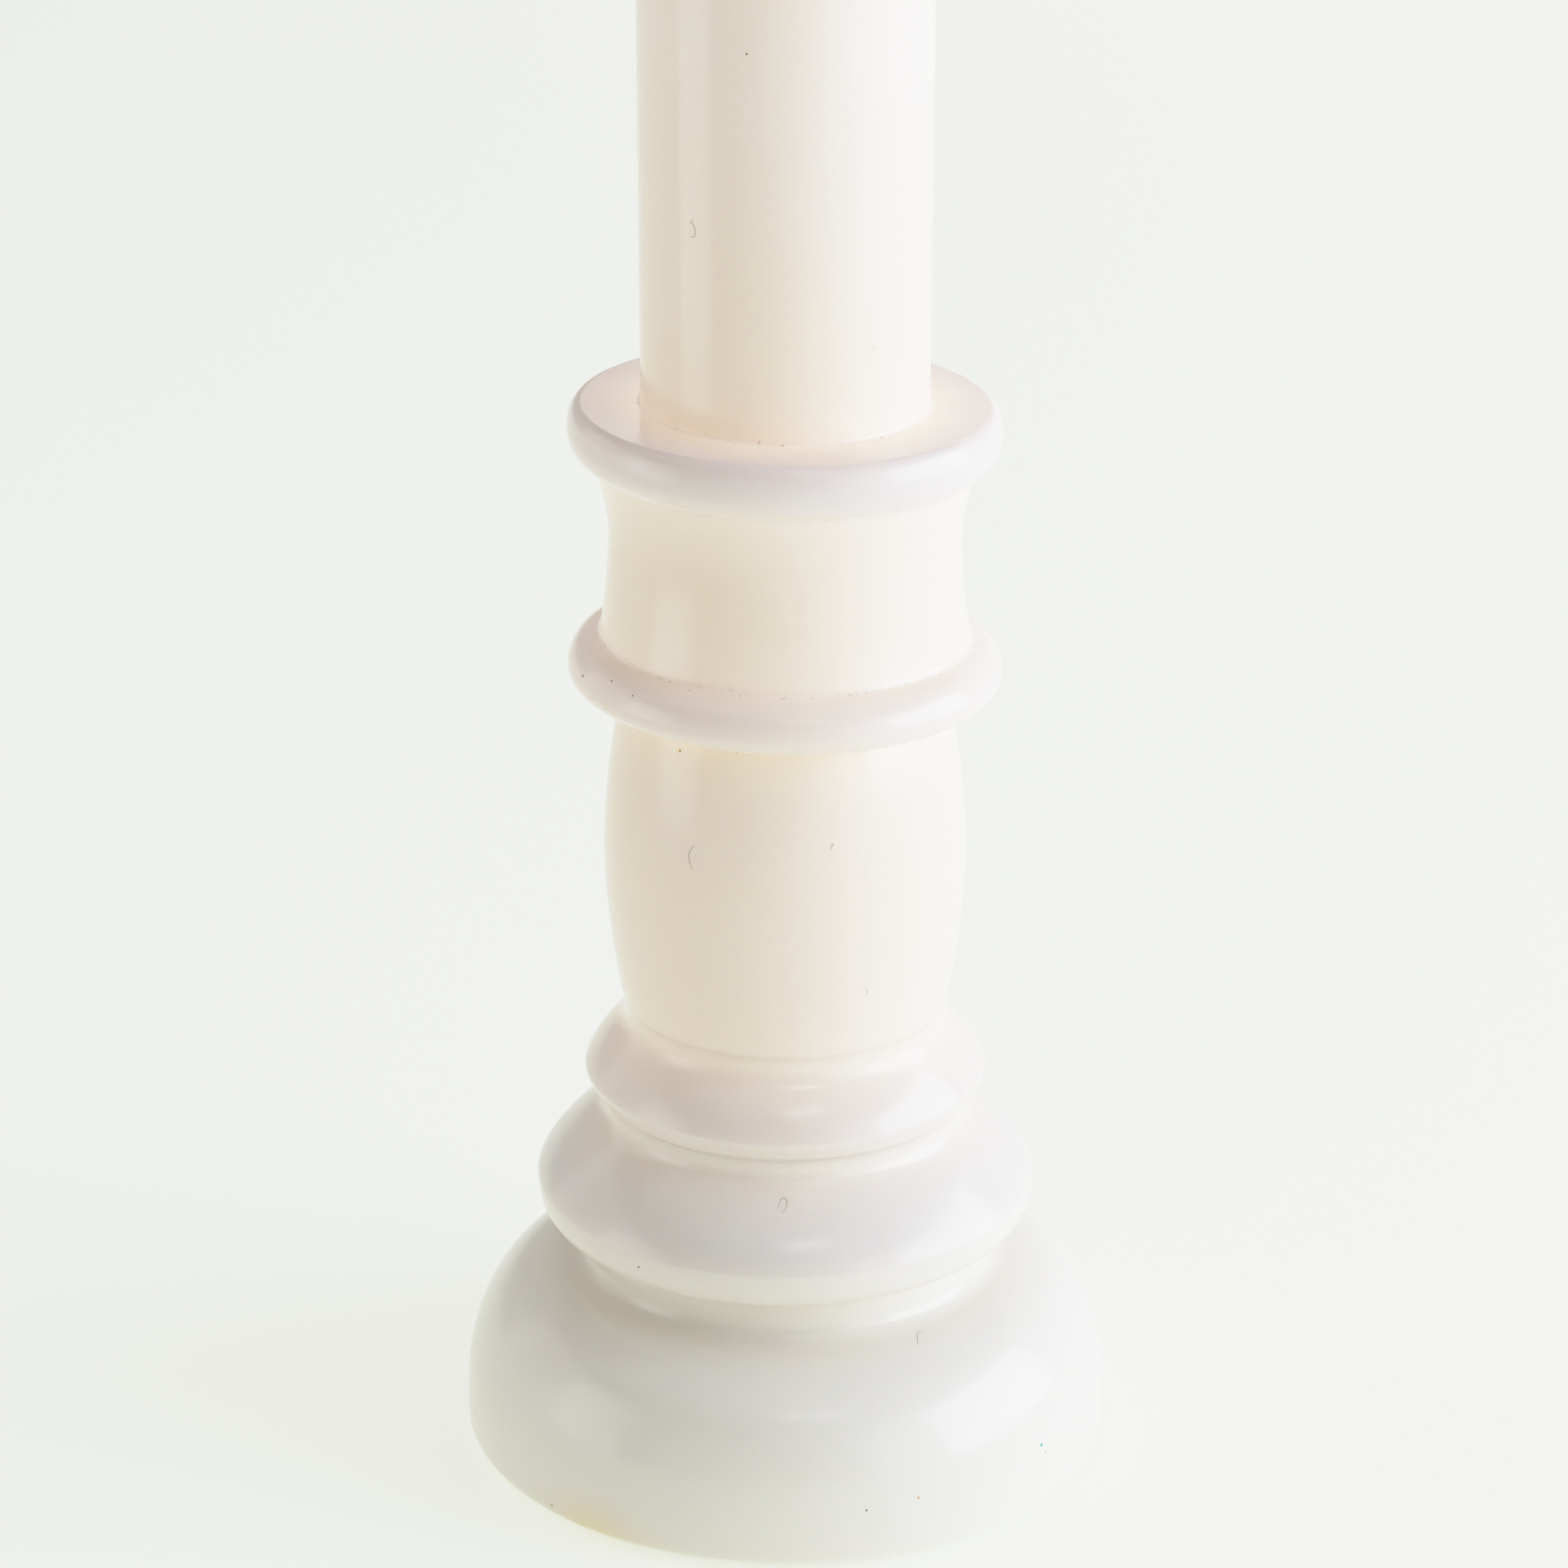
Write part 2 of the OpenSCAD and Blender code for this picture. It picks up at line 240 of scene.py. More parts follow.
def creamFinish():
    # cream nitrocellulose lacquer, dipped thick over turned wood and rubbed to a satin gloss: no grain shows,
    # and light sinks a little way in;
    # the cool edges, the greyer foot, the darker low creases and the bright warm hollows are painted light and
    # shade
    material, tree, shader = newMaterial("creamDippedLacquer", IOR=1.5, Subsurface_Scale=0.004,
                                         Subsurface_Radius=(1.0, 0.65, 0.4), Emission_Strength=finish["glow"])
    place = add(tree, "ShaderNodeTexCoord").outputs["Object"]
    height = add(tree, "ShaderNodeSeparateXYZ", {0: place}).outputs["Z"]
    crease, standing, paintedGlow, warmReflection = (add(tree, "ShaderNodeAttribute", attribute_name=name).outputs["Fac"]
                                         for name in ("crease", "standing", "paintedGlow", "paintedWarmReflection"))
    # it has yellowed in patches some centimetres across, most between the foot and the column
    held = add(tree, "ShaderNodeMapRange", {0: height, 1: finish["clean"], 2: finish["capital"]}).outputs[0]
    lump = add(tree, "ShaderNodeTexNoise", {"Vector": place,
                                            "Scale": 1 / (finish["patchSize"] * mm)}).outputs["Fac"]
    patch = add(tree, "ShaderNodeMapRange", {0: lump, 1: finish["patchEdges"][0], 2: finish["patchEdges"][1],
                                             3: 0.0, 4: finish["patchShare"]}).outputs[0]
    aged = add(tree, "ShaderNodeMath", {0: held, 1: finish["aged"], 2: patch},
               operation="MULTIPLY_ADD").outputs[0]
    tone = add(tree, "ShaderNodeMix", {0: aged, 6: hexToLinear(finish["body"]),
                                       7: hexToLinear(finish["yellowed"])}, data_type="RGBA").outputs[2]
    # painted light: a cool grey on what stands out, for the cool light that edges show
    tone = add(tree, "ShaderNodeMix", {0: standing, 6: tone, 7: hexToLinear(finish["paintedCoolEdge"])},
               data_type="RGBA").outputs[2]
    # painted shade: a greyer, darker tone towards the foot
    low = add(tree, "ShaderNodeMapRange", {0: height, 1: finish["waist"], 2: finish["footTop"]}).outputs[0]
    tone = add(tree, "ShaderNodeMix", {0: low, 6: tone, 7: hexToLinear(finish["paintedShadeLow"])},
               data_type="RGBA").outputs[2]
    # painted shade: a darker beige in the creases low on the stick
    paintedCreaseShade = add(tree, "ShaderNodeMath", {0: low, 1: crease}, operation="MULTIPLY").outputs[0]
    tone = add(tree, "ShaderNodeMix", {0: paintedCreaseShade, 6: tone, 7: hexToLinear(finish["paintedCreaseShade"])},
               data_type="RGBA").outputs[2]
    # painted glow: a bright warm tone where two pieces meet
    tone = add(tree, "ShaderNodeMix", {0: paintedGlow, 6: tone, 7: hexToLinear(finish["paintedGlow"])},
               data_type="RGBA").outputs[2]
    # painted reflection: a warm yellow patch low on the foot
    tone = add(tree, "ShaderNodeMix", {0: warmReflection, 6: tone, 7: hexToLinear(finish["paintedWarmReflection"])},
               data_type="RGBA").outputs[2]
    # painted glow: a warm emission where two pieces meet, standing in for light that sank in elsewhere and
    # comes out again there
    glowColour = add(tree, "ShaderNodeMix", {0: paintedGlow, 6: (0, 0, 0, 1), 7: hexToLinear(finish["paintedGlow"])},
                 data_type="RGBA").outputs[2]
    tree.links.new(glowColour, shader.inputs["Emission Color"])
    sunk = add(tree, "ShaderNodeMapRange", {0: crease, 1: finish["sunkEdges"][0], 2: finish["sunkEdges"][1],
                                            3: finish["sunk"], 4: 0.0}).outputs[0]
    tree.links.new(sunk, shader.inputs["Subsurface Weight"])
    # dust lies in the corners above the tori, as grains kept only close to them
    grain = add(tree, "ShaderNodeTexNoise", {"Vector": place, "Scale": 1 / (finish["dustGrain"] * mm),
                                             "Detail": 1.0}).outputs["Fac"]
    grain = add(tree, "ShaderNodeMapRange", {0: grain, 1: finish["grainEdges"][0],
                                             2: finish["grainEdges"][1]}).outputs[0]
    corner = add(tree, "ShaderNodeMapRange", {0: crease, 1: finish["cornerEdges"][0],
                                              2: finish["cornerEdges"][1], 3: 0.0,
                                              4: finish["dustShare"]}).outputs[0]
    above = add(tree, "ShaderNodeMapRange", {0: height, 1: finish["waist"], 2: finish["dustFrom"]}).outputs[0]
    dusty = add(tree, "ShaderNodeMath", {0: grain, 1: corner}, operation="MULTIPLY").outputs[0]
    dusty = add(tree, "ShaderNodeMath", {0: dusty, 1: above}, operation="MULTIPLY").outputs[0]
    tone = add(tree, "ShaderNodeMix", {0: dusty, 6: tone, 7: hexToLinear(finish["dust"])},
               data_type="RGBA").outputs[2]
    tree.links.new(tone, shader.inputs["Base Color"])
    # handling has left the gloss uneven, and duller on what stands out
    smear = add(tree, "ShaderNodeTexNoise", {"Vector": place, "Scale": 1 / (finish["wipeSize"] * mm),
                                             "Detail": 3.0}).outputs["Fac"]
    gloss = add(tree, "ShaderNodeMapRange", {0: smear, 1: finish["wipeEdges"][0], 2: finish["wipeEdges"][1],
                                             3: finish["roughness"] - finish["smoother"],
                                             4: finish["roughness"] + finish["rougher"]}).outputs[0]
    gloss = add(tree, "ShaderNodeMath", {0: standing, 1: finish["roughOutside"], 2: gloss},
                operation="MULTIPLY_ADD").outputs[0]
    tree.links.new(gloss, shader.inputs["Roughness"])
    # the skin has a low orange peel, and broad turning marks still show faintly beneath it
    # bands turn through 20 radians a metre at scale 1, so a mark of some width has scale 2 pi / 20 / width
    turning = add(tree, "ShaderNodeTexWave", {"Vector": place, "Scale": 0.314 / (finish["turningMark"] * mm),
                                              "Distortion": 1.5, "Detail": 1.0}, bands_direction="Z")
    skin = add(tree, "ShaderNodeBump", {"Height": turning.outputs["Fac"], "Strength": 0.12,
                                        "Distance": finish["turningDepth"]})
    peel = add(tree, "ShaderNodeTexNoise", {"Vector": place, "Scale": 1 / (finish["orangePeel"] * mm),
                                            "Detail": 0.0})
    skin = add(tree, "ShaderNodeBump", {"Height": peel.outputs["Fac"], "Strength": 0.2,
                                        "Distance": finish["peelDepth"], "Normal": skin.outputs[0]})
    tree.links.new(skin.outputs[0], shader.inputs["Normal"])
    return material


# edges are where a duller patch starts and where it is complete; depth in metres
metalWear = {"dulledEdges": (0.4, 0.68), "rougher": 0.16, "markDepth": 0.00004}


def metalFinish(name, bright, dull, roughness, patchSize, scratchSize):
    # patches of a duller tone, and fine marks that break up the reflections; both sizes in millimetres
    material, tree, shader = newMaterial(name, Metallic=1.0)
    place = add(tree, "ShaderNodeTexCoord").outputs["Object"]
    patch = add(tree, "ShaderNodeTexNoise", {"Vector": place, "Scale": 1 / (patchSize * mm), "Detail": 4.0})
    dulled = add(tree, "ShaderNodeMapRange", {0: patch.outputs["Fac"], 1: metalWear["dulledEdges"][0],
                                              2: metalWear["dulledEdges"][1]}).outputs[0]
    tone = add(tree, "ShaderNodeMix", {0: dulled, 6: hexToLinear(bright), 7: hexToLinear(dull)},
               data_type="RGBA")
    tree.links.new(tone.outputs[2], shader.inputs["Base Color"])
    matt = add(tree, "ShaderNodeMapRange", {0: dulled, 3: roughness, 4: roughness + metalWear["rougher"]})
    tree.links.new(matt.outputs[0], shader.inputs["Roughness"])
    marks = add(tree, "ShaderNodeTexNoise", {"Vector": place, "Scale": 1 / (scratchSize * mm)})
    marked = add(tree, "ShaderNodeBump", {"Height": marks.outputs["Fac"], "Strength": 0.3,
                                          "Distance": metalWear["markDepth"]})
    tree.links.new(marked.outputs[0], shader.inputs["Normal"])
    return material


cream = creamFinish()
# brass sheet spun on a former: a warm gloss with brown tarnish
brass = metalFinish("spunBrass", "#E3C27A", "#B08A48", 0.22, 5.0, 0.35)
# zinc electroplated on steel: pale and faintly mottled
zinc = metalFinish("zincPlatedSteel", "#C9CCD0", "#9FA3A6", 0.3, 1.6, 0.3)
# spring steel, rolled and hardened in oil: dark, with a low sheen
springSteel = metalFinish("oiledSpringSteel", "#6B6A68", "#3D3A37", 0.36, 2.2, 0.4)


# tuft and nap in millimetres, the nap's depth in metres
feltLook = {"deep": "#2C4634", "pale": "#4D6B50", "tuft": 1.4, "tuftEdges": (0.36, 0.66), "nap": 0.45,
            "napDepth": 0.0002}


def woolFelt():
    # pressed wool felt, dyed green: matt, with a soft nap and lumps as wide as a tuft of wool
    material, tree, shader = newMaterial("greenWoolFelt", Roughness=0.95, Sheen_Weight=0.6,
                                         Sheen_Roughness=0.6, Specular_IOR_Level=0.15)
    place = add(tree, "ShaderNodeTexCoord").outputs["Object"]
    tuft = add(tree, "ShaderNodeTexNoise", {"Vector": place, "Scale": 1 / (feltLook["tuft"] * mm),
                                            "Detail": 5.0})
    pale = add(tree, "ShaderNodeMapRange", {0: tuft.outputs["Fac"], 1: feltLook["tuftEdges"][0],
                                            2: feltLook["tuftEdges"][1]}).outputs[0]
    deep, light = hexToLinear(feltLook["deep"]), hexToLinear(feltLook["pale"])
    tone = add(tree, "ShaderNodeMix", {0: pale, 6: deep, 7: light}, data_type="RGBA")
    tree.links.new(tone.outputs[2], shader.inputs["Base Color"])
    nap = add(tree, "ShaderNodeTexNoise", {"Vector": place, "Scale": 1 / (feltLook["nap"] * mm),
                                           "Detail": 4.0})
    raised = add(tree, "ShaderNodeBump", {"Height": nap.outputs["Fac"], "Strength": 0.8,
                                          "Distance": feltLook["napDepth"]})
    tree.links.new(raised.outputs[0], shader.inputs["Normal"])
    return material


felt = woolFelt()
print("materials ready")

# the visible sides of the turned pieces, as radius and height from the bottom of the stick to the top;
# lengths in the shapes below are in millimetres; shoulder, under, slope and square are superellipse powers
sides = {}

footShape = {"wall": 3.6, "shoulder": 2.2, "neck": 29.2, "neckHeight": 7.0, "neckSwell": 0.6,
             "edge": 0.9, "cove": 3.6, "counterbore": 13.0, "counterboreDepth": 13.0}


def footSide():
    # an arris, a wall with a superellipse dome, a cove, and a neck that swells as half a sine wave
    s = footShape
    low, high = heights("foot")
    wide, domeTop = widest("foot"), high - s["neckHeight"]
    edge = rounded((wide, low), (0, low), (wide, high), s["edge"])
    dome = quarter(s["neck"], domeTop, wide, low + s["wall"], s["shoulder"], 48)
    t = np.linspace(0, 1, 30)
    neck = np.column_stack([s["neck"] + s["neckSwell"] * np.sin(math.pi * t), domeTop + s["neckHeight"] * t])
    lower = dome[along(dome) < along(dome)[-1] - s["cove"]]
    upper = neck[along(neck) > s["cove"]]
    t = np.linspace(0, 1, 12)[1:-1, None]
    cove = (1 - t) ** 2 * lower[-1] + 2 * t * (1 - t) * dome[-1] + t ** 2 * upper[0]
    return np.vstack([edge, lower, cove, upper])


toriShape = {"largeNose": 6.3, "smallNose": 5.3, "crease": 23.8, "balusterFoot": 22.8,
             "slope": 1.25, "largeUnder": 3.0, "smallUnder": 1.5}


def toriSides():
    s = toriShape
    low, high = heights("foot")[1], heights("large_torus")[1]
    large = ring(footShape["neck"], widest("large_torus"), s["crease"], low, low + s["largeNose"], high,
                 s["largeUnder"], s["slope"])
    low, high = high, heights("small_torus")[1]
    small = ring(s["crease"], widest("small_torus"), s["balusterFoot"], low, low + s["smallNose"], high,
                 s["smallUnder"], s["slope"])
    return large, small


balusterShape = {"top": 23.2, "belly": 26.0}


def balusterSide():
    low, high = heights("small_torus")[1], heights("baluster")[1]
    return bentSide(toriShape["balusterFoot"], widest("baluster"), balusterShape["top"], low,
                    low + balusterShape["belly"], high)


capitalShape = {"beadNose": 3.6, "beadSquare": 2.1, "spoolFoot": 26.2, "spoolWaist": 24.8, "spoolTop": 27.2,
                "waist": 15.6, "collarNose": 4.0, "collarTop": 28.3, "columnRadius": 20.1}


def capitalSides():
    s = capitalShape
    square = s["beadSquare"]
    low, high = heights("lower_bead")
    bead = ring(balusterShape["top"], widest("lower_bead"), s["spoolFoot"], low, low + s["beadNose"], high,
                square, square)
    low, high = high, heights("spool")[1]
    spool = bentSide(s["spoolFoot"], s["spoolWaist"], s["spoolTop"], low, low + s["waist"], high)
    low, high = heights("collar")
    collar = ring(s["spoolTop"], widest("collar"), s["collarTop"], low, low + s["collarNose"], high,
                  square, square)
    face = np.column_stack([np.linspace(s["collarTop"], s["columnRadius"], 30), np.full(30, high)])
    return bead, spool, np.vstack([collar, face[1:]])


def columnSide():
    z = np.linspace(heights("collar")[1], heights("column")[1], 210)
    return np.column_stack([np.full(len(z), widest("column")), z])


cupShape = {"foot": 19.0, "top": 23.0, "belly": 23.0, "floor": 8.0, "socketHole": 12.25,
            "rimNose": 4.0, "dish": 2.4, "seat": 16.6}


def cupSides():
    s = cupShape
    square = capitalShape["beadSquare"]
    low, high = heights("upper_bead")
    bead = ring(widest("column"), widest("upper_bead"), s["foot"], low, (low + high) / 2, high,
                square, square)
    low, high = high, heights("candle_cup")[1]
    cup = bentSide(s["foot"], widest("candle_cup"), s["top"], low, low + s["belly"], high)
    low, high = heights("drip_rim")
    lip = widest("drip_rim") - s["dish"]
    edge = ring(s["top"], widest("drip_rim"), lip, low, low + s["rimNose"], high, square, square)
    t = np.linspace(0, 1, 30)[1:, None]
    dish = np.hstack([lip + (s["seat"] - lip) * t, high - s["dish"] + s["dish"] * (1 - t) ** 2])
    return bead, cup, np.vstack([edge, dish])


sides["foot"] = footSide()
sides["large_torus"], sides["small_torus"] = toriSides()
sides["baluster"] = balusterSide()
sides["lower_bead"], sides["spool"], sides["collar"] = capitalSides()
sides["column"] = columnSide()
sides["upper_bead"], sides["candle_cup"], sides["drip_rim"] = cupSides()

# how far in millimetres the finish pools along each side of the joint on top of a piece, and how strongly the
# painted glow shows there
poolsAndGlow = {"foot": (2.6, 0.05), "large_torus": (4.6, 0.15), "small_torus": (3.8, 0.25), "baluster": (0.5, 0.3),
         "lower_bead": (1.4, 0.55), "spool": (1.2, 0.35), "collar": (0.9, 1.0), "column": (0.6, 0.5),
         "upper_bead": (0.9, 0.5), "candle_cup": (0.7, 0.4)}
corners = np.array([sides[node][-1] for node in poolsAndGlow])
glowShares = np.array([depth for size, depth in poolsAndGlow.values()])
wholeSide = np.vstack(list(sides.values()))
coated = dict(sides)
for lower, upper in zip(list(sides), list(sides)[1:]):
    coated[lower] = pooledJoint(sides[lower], sides[upper], poolsAndGlow[lower][0])

joinery = {"spigot": 12.0, "reach": 8.0, "gap": 0.1, "glueRoom": 0.5, "rodHole": 4.5, "chamfer": 0.5,
           "contact": 0.02, "stations": 240}
# how far the values that colour a turned piece carry, in millimetres
lie = {"corner": 5.0, "glowReach": 5.5, "standReach": 9.0, "standFull": 12.0}
# a painted warm reflection low on the foot, a yellow patch: bearing and width in degrees, height and tallness
# in millimetres
paintedWarmReflection = {"bearing": -35, "height": 2.0, "wide": 9.0, "tall": 4.5, "depth": 0.5}


def block(side, lowZ, highZ, ringBelow=None, socketAbove=True):
    # the closed outline of a bored block: spigot below, side, socket above, and the rod's hole through all;
    # the spigot is longer by the height of the ring below that it passes through, and None is for no spigot
    spigot, hole, cut = joinery["spigot"], joinery["rodHole"], joinery["chamfer"]
    faceZ = highZ - joinery["contact"]
    under = [(hole, lowZ)]
    if ringBelow is not None:
        endZ = lowZ - ringBelow - joinery["reach"]
        under = [(hole, endZ), (spigot - cut, endZ), (spigot, endZ + cut), (spigot, lowZ)]
    over = [(hole, faceZ)]
    if socketAbove:
        floorZ = highZ - joinery["reach"] - joinery["glueRoom"]
        over = [(spigot + joinery["gap"], faceZ), (spigot + joinery["gap"], floorZ), (hole, floorZ)]
    return np.vstack([under, side, over])


def slipRing(side, lowZ, highZ, holeR):
    # the closed outline of a ring with a straight hole, which slips over a spigot or the brass socket
    return np.vstack([[(holeR, lowZ)], side, [(holeR, highZ - joinery["contact"])]])


def turned(name, loop, node):
    # the outline carried round the axis with the turner's small errors, and the values that colour it kept at
    # each point: crease is e to the minus distance from the nearest joint, the painted glow is the same over
    # its own reach times its share at that joint, standing is how far it stands out from the narrowest place
    # within reach above or below, and the painted warm reflection is its depth times e to the minus squared
    # distance from its middle
    r, z = loop[:, :1], loop[:, 1:]
    stations = joinery["stations"]
    theta = np.linspace(0, 2 * math.pi, stations, endpoint=False)[None, :]
    x, y, height = handTurned(r, z, theta)
    points = np.stack([x, y, np.broadcast_to(height, x.shape)], -1).reshape(-1, 3)
    piece = meshFrom(name, points, gridFaces(len(loop), stations), cream, "cream_lacquer", node)
    away = np.hypot(r - corners[:, 0], z - corners[:, 1])
    near = np.abs(z - wholeSide[:, 1]) < lie["standReach"]
    narrow = np.where(near, wholeSide[:, 0], np.inf).min(1)
    values = {"crease": np.exp(-away.min(1) / lie["corner"]),
              "paintedGlow": (glowShares * np.exp(-away / lie["glowReach"])).max(1),
              "standing": np.clip((r[:, 0] - narrow) / lie["standFull"], 0, 1)}
    values = {key: np.repeat(value, stations) for key, value in values.items()}
    bearing = np.degrees(theta) + 90 - 360 * (theta > math.pi)
    # painted reflection: a yellow patch round one bearing, low on the foot
    spot = ((bearing - paintedWarmReflection["bearing"]) / paintedWarmReflection["wide"]) ** 2 + ((z - paintedWarmReflection["height"]) / paintedWarmReflection["tall"]) ** 2
    values["paintedWarmReflection"] = paintedWarmReflection["depth"] * np.exp(-spot).ravel()
    for key, value in values.items():
        layer = piece.data.attributes.new(key, "FLOAT", "POINT")
        layer.data.foreach_set("value", value.astype(np.float32))


def makeTurnedPieces():
    def top(node):
        return heights(node)[1]

    hole = joinery["spigot"] + joinery["gap"]
    low, high = heights("foot")
    boreTop = low + footShape["counterboreDepth"]
    boreR = footShape["counterbore"]
    bore = [(joinery["rodHole"], boreTop), (boreR, boreTop), (boreR, low)]
    turned("domed_foot", np.vstack([bore, block(coated["foot"], low, high)[1:]]), "foot")
    turned("lower_torus", block(coated["large_torus"], top("foot"), top("large_torus"), 0.0), "large_torus")
    turned("upper_torus", block(coated["small_torus"], top("large_torus"), top("small_torus"), 0.0),
           "small_torus")
    turned("vase_baluster", block(coated["baluster"], top("small_torus"), top("baluster"), 0.0), "baluster")
    turned("bead_ring", slipRing(coated["lower_bead"], *heights("lower_bead"), hole), "lower_bead")
    beadHeight = top("lower_bead") - top("baluster")
    turned("waisted_spool", block(coated["spool"], top("lower_bead"), top("spool"), beadHeight), "spool")
    turned("collar_ring", slipRing(coated["collar"], *heights("collar"), hole), "collar")
    collarHeight = top("collar") - top("spool")
    turned("round_column", block(coated["column"], top("collar"), top("column"), collarHeight), "column")
    turned("cup_bead", slipRing(coated["upper_bead"], *heights("upper_bead"), hole), "upper_bead")
    beadHeight = top("upper_bead") - top("column")
    cup = block(coated["candle_cup"], top("upper_bead"), top("candle_cup"), beadHeight, False)
    seatZ = top("upper_bead") + cupShape["floor"]
    faceZ = top("candle_cup") - joinery["contact"]
    well = [(cupShape["socketHole"], faceZ), (cupShape["socketHole"], seatZ), (joinery["rodHole"], seatZ)]
    turned("turned_cup", np.vstack([cup[:-1], well]), "candle_cup")
    low, high = heights("drip_rim")
    turned("dished_rim", slipRing(coated["drip_rim"], low, high - cupShape["dish"], cupShape["socketHole"]),
           "drip_rim")


makeTurnedPieces()
print("turned pieces ready")

socketShape = {"wall": 0.9, "sheet": 1.2, "corner": 0.8, "mouth": 0.7, "outer": 12.15}


def makeSocket():
    # a spun cup with a rolled flange: straight walls, rounded corners, and the flange's edge half a circle
    s = socketShape
    low, high = heights("candle_socket")
    flangeR = widest("candle_socket")
    boreR, roll = s["outer"] - s["wall"], s["sheet"] / 2
    a = np.linspace(-math.pi / 2, math.pi / 2, 12)
    rolled = np.column_stack([flangeR - roll + roll * np.cos(a), high - roll + roll * np.sin(a)])
    outline = np.vstack([
        rounded((s["outer"], low), (0, low), (s["outer"], high), s["corner"]),
        [(s["outer"], high - s["sheet"])], rolled,
        rounded((boreR, high), (flangeR, high), (boreR, low), s["mouth"]),
        rounded((boreR, low + s["sheet"]), (boreR, high), (0, low + s["sheet"]), s["corner"])])
    spunSolid("brass_candle_socket", outline[:, :1], outline[:, 1:], brass, "brass", "candle_socket",
              stations=128)


rodShape = {"pitch": 1.25, "depth": 0.62, "threaded": 34.0, "chamfer": 0.7, "stepsPerPitch": 10,
            "stations": 48}


def makeRod():
    # thread depth times a triangle wave of height over pitch less angle over a full turn, on both ends only
    s = rodShape
    low, high = heights("tie_rod")
    radius = widest("tie_rod")
    step = s["pitch"] / s["stepsPerPitch"]
    lowerEnd = np.arange(low, low + s["threaded"], step)
    upperEnd = np.arange(high - s["threaded"], high, step)
    plain = np.linspace(lowerEnd[-1] + 1, upperEnd[0] - 1, 12)
    z = np.concatenate([lowerEnd, plain, upperEnd, [high]])[:, None]
    theta = np.linspace(0, 2 * math.pi, s["stations"], endpoint=False)[None, :]
    turn = (z / s["pitch"] - theta / (2 * math.pi)) % 1
    fromEnd = np.minimum(z - low, high - z)
    cutDeep = np.clip((s["threaded"] - fromEnd) / s["pitch"], 0, 1)
    r = radius - s["depth"] * cutDeep * (1 - np.abs(2 * turn - 1))
    r = np.minimum(r, radius - s["chamfer"] + fromEnd)
    spunSolid("threaded_tie_rod", r, z, zinc, "zinc_steel", "tie_rod", stations=s["stations"])


nutShape = {"holeChamfer": 0.5, "crown": 30.0, "crownFrom": 0.97, "crownBand": 1.4, "thread": 4.05,
            "stations": 96}


def makeNut(name, node):
    # a hexagon: half its width across flats, over the cosine of the angle from the nearest flat's middle;
    # both ends are crowned by a cone
    low, high = heights(node)
    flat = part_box(node)[1].y / mm
    band, stations = nutShape["crownBand"], nutShape["stations"]
    side = np.concatenate([np.linspace(low, low + band, 8), np.linspace(high - band, high, 8)])[:, None]
    theta = np.linspace(0, 2 * math.pi, stations, endpoint=False)[None, :]
    corner = flat / np.cos(theta % (math.pi / 3) - math.pi / 6)
    fromEnd = np.minimum(side - low, high - side)
    crown = nutShape["crownFrom"] * flat + fromEnd / math.tan(math.radians(nutShape["crown"]))
    outer = np.minimum(corner, crown)
    hole, cut = nutShape["thread"], nutShape["holeChamfer"]
    inner = np.array([(hole + cut, high), (hole, high - cut), (hole, low + cut), (hole + cut, low)])
    r = np.vstack([outer, np.broadcast_to(inner[:, :1], (len(inner), stations))])
    z = np.vstack([side, inner[:, 1:]])
    spunRing(name, r, z, zinc, "zinc_steel", node, stations=stations)


def softSection(innerR, outerR, low, high, size):
    # a rectangle with its four corners rounded, walked outwards along the bottom
    return np.vstack([
        rounded((innerR, low), (innerR, high), (outerR, low), size),
        rounded((outerR, low), (innerR, low), (outerR, high), size),
        rounded((outerR, high), (outerR, low), (innerR, high), size),
        rounded((innerR, high), (outerR, high), (innerR, low), size)])


washerEdge = 0.3


def makeWasher(name, node):
    # blanked from sheet: a flat ring with its edges just broken
    section = softSection(nutShape["thread"], widest(node), *heights(node), washerEdge)
    spunRing(name, section[:, :1], section[:, 1:], zinc, "zinc_steel", node)


lockShape = {"slit": 1.5, "edge": 0.35, "stations": 90}


def makeLockWasher():
    # a square section carried round from one side of the slit to the other, and closed by its two ends
    s = lockShape
    outerR = -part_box("foot_lock_washer")[0].x / mm
    section = softSection(nutShape["thread"], outerR, *heights("foot_lock_washer"), s["edge"])
    gap = s["slit"] / 2 / outerR
    theta = np.linspace(gap, 2 * math.pi - gap, s["stations"])[None, :]
    x, y = section[:, :1] * np.cos(theta), section[:, :1] * np.sin(theta)
    points = np.stack([x, y, np.broadcast_to(section[:, 1:], x.shape)], -1)
    rows, columns = points.shape[:2]
    starts = np.arange(rows) * columns
    faces = gridFaces(rows, columns, closeColumns=False)
    faces += [starts[::-1].tolist(), (starts + columns - 1).tolist()]
    meshFrom("split_lock_washer", points.reshape(-1, 3), faces, springSteel, "spring_steel",
             "foot_lock_washer")


makeSocket()
makeRod()
makeNut("foot_hex_nut", "foot_nut")
makeNut("cup_hex_nut", "cup_nut")
makeWasher("wide_foot_washer", "foot_washer")
makeWasher("cup_seat_washer", "cup_washer")
makeLockWasher()
print("fittings ready")

feltShape = {"edge": 0.55, "waver": 0.12, "stations": 180, "fuzz": 520, "fuzzLength": 0.9, "fuzzThick": 0.03,
             "fuzzReach": 0.6, "fuzzRoot": 0.3, "fuzzRise": 0.25, "fuzzClear": 0.06}


